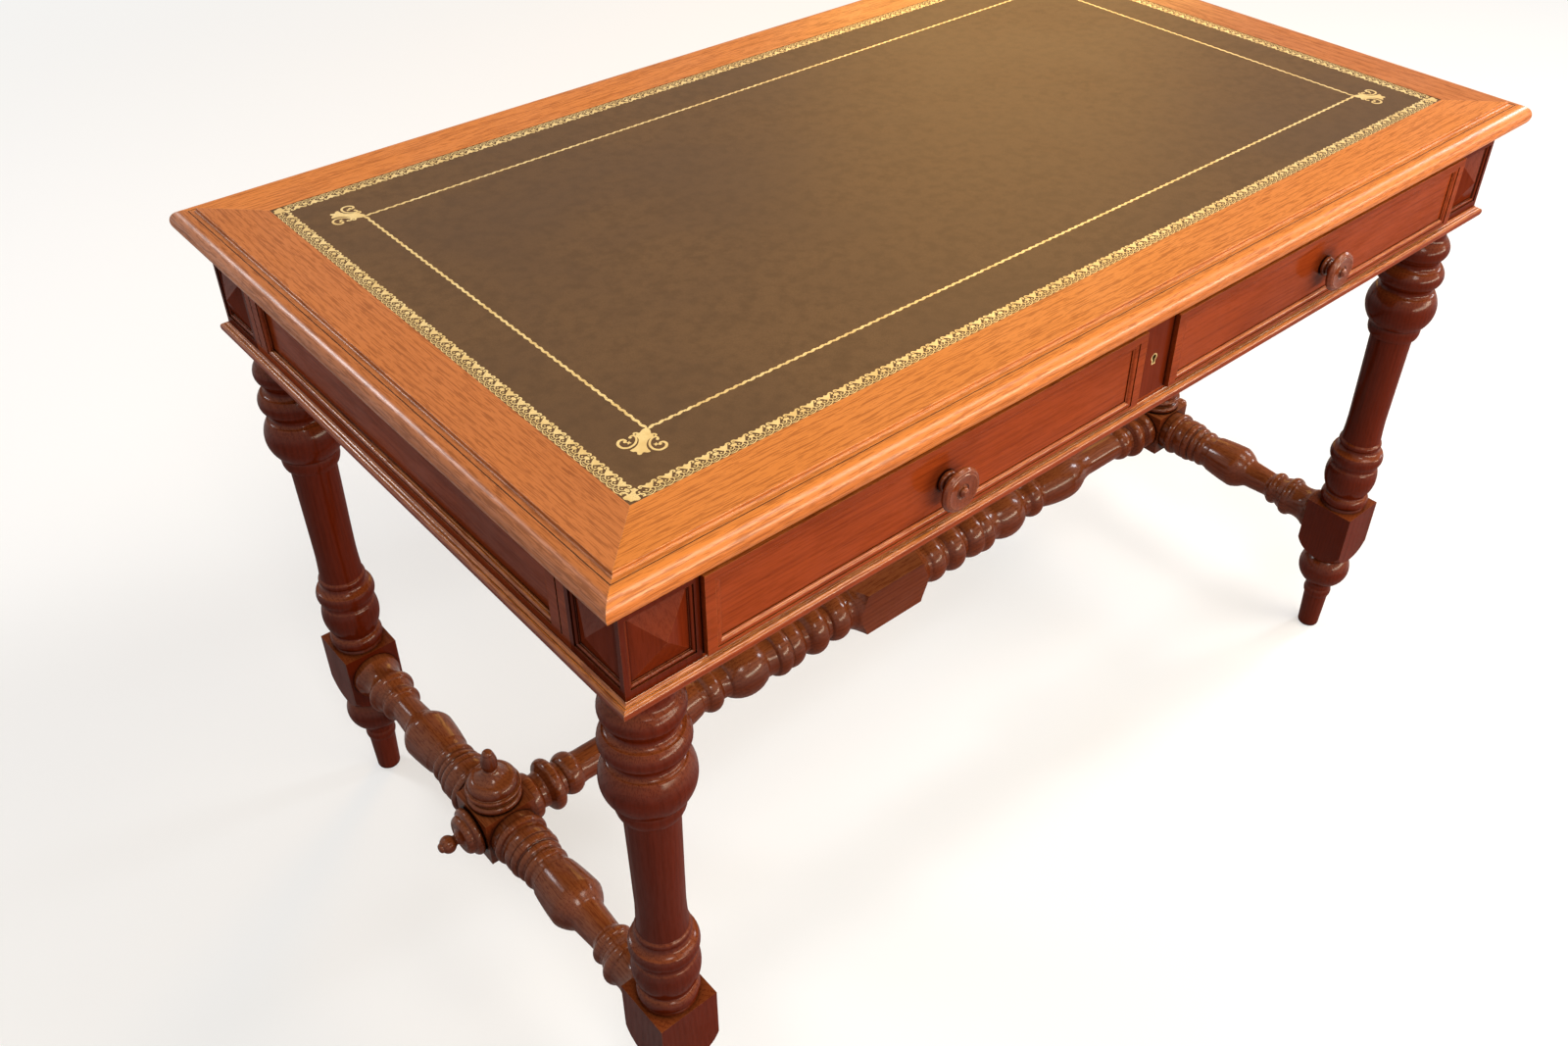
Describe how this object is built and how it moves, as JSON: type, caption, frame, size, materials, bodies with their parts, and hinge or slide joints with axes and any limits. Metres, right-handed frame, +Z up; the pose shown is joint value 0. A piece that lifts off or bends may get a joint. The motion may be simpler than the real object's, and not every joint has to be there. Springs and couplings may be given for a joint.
{
  "type": "library table",
  "caption": "Library table with a tooled leather top in a moulded oak frame, frieze drawers, bulbous turned legs and a turned H-stretcher with finials.",
  "frame": {"origin": "on the floor plane, midway between the four feet", "axes": "+X along the table's length, with the front's right hand end at +X; +Y from the drawer front to the back; +Z up"},
  "size_m": [1.2298, 0.7162, 0.76],
  "materials": {
    "oak_top": "polished",
    "oak_frame": "polished",
    "plain_oak": "bare",
    "leather": "tooled, satin",
    "brass": "aged",
    "steel": "dull"
  },
  "bodies": {
    "table": {"back_moulding": "oak_frame", "back_rail": "oak_frame", "base_moulding_back": "oak_frame", "base_moulding_front": "oak_frame", "base_moulding_left": "oak_frame", "base_moulding_right": "oak_frame", "centre_stile": "oak_frame", "corner_mouldings": "oak_frame", "corner_pyramids": "oak_frame", "drawer_kickers": "plain_oak", "end_moulding_left": "oak_frame", "end_moulding_right": "oak_frame", "end_rail_left": "oak_frame", "end_rail_right": "oak_frame", "front_bottom_rail": "oak_frame", "front_top_rail": "oak_frame", "glue_blocks": "plain_oak", "keyhole_escutcheon": "brass", "leather_inset": "leather", "leg_back_left": "oak_frame", "leg_back_right": "oak_frame", "leg_front_left": "oak_frame", "leg_front_right": "oak_frame", "lock_case": "steel", "lock_screws": "brass", "long_stretcher": "oak_frame", "outer_finial_left": "oak_frame", "outer_finial_right": "oak_frame", "runner_centre": "plain_oak", "runner_left": "plain_oak", "runner_right": "plain_oak", "side_stretcher_left": "oak_frame", "side_stretcher_right": "oak_frame", "top_board": "plain_oak", "top_border_back": "oak_top", "top_border_front": "oak_top", "top_border_left": "oak_top", "top_border_right": "oak_top", "top_finial_left": "oak_frame", "top_finial_right": "oak_frame", "top_screws": "brass"},
    "drawer_left": {"drawer_left_back": "plain_oak", "drawer_left_bottom": "plain_oak", "drawer_left_front": "oak_frame", "drawer_left_knob": "oak_frame", "drawer_left_knob_screw": "brass", "drawer_left_moulding": "oak_frame", "drawer_left_side_inner": "plain_oak", "drawer_left_side_outer": "plain_oak"},
    "drawer_right": {"drawer_right_back": "plain_oak", "drawer_right_bottom": "plain_oak", "drawer_right_front": "oak_frame", "drawer_right_knob": "oak_frame", "drawer_right_knob_screw": "brass", "drawer_right_moulding": "oak_frame", "drawer_right_side_inner": "plain_oak", "drawer_right_side_outer": "plain_oak"},
    "lock_hub": {"lock_hub": "steel"},
    "lock_bolt_left": {"lock_bolt_left": "brass"},
    "lock_bolt_right": {"lock_bolt_right": "brass"}
  },
  "joints": [
    {"name": "drawer_left_slide", "type": "slide", "parent": "table", "child": "drawer_left", "axis": [0, -1, 0], "range_m": [0, 0.34]},
    {"name": "drawer_right_slide", "type": "slide", "parent": "table", "child": "drawer_right", "axis": [0, -1, 0], "range_m": [0, 0.34]},
    {"name": "lock_turn", "type": "hinge", "parent": "table", "child": "lock_hub", "pos_m": [0, -0.3175, 0.68078], "axis": [0, 1, 0], "range_deg": [0, 90]},
    {"name": "lock_bolt_left_slide", "type": "slide", "parent": "table", "child": "lock_bolt_left", "axis": [-1, 0, 0], "range_m": [0, 0.007]},
    {"name": "lock_bolt_right_slide", "type": "slide", "parent": "table", "child": "lock_bolt_right", "axis": [1, 0, 0], "range_m": [0, 0.007]}
  ],
  "couplings": [
    {"joint": "lock_bolt_left_slide", "follows": "lock_turn", "m_per_rad": 0.0044559},
    {"joint": "lock_bolt_right_slide", "follows": "lock_turn", "m_per_rad": 0.0044559}
  ]
}
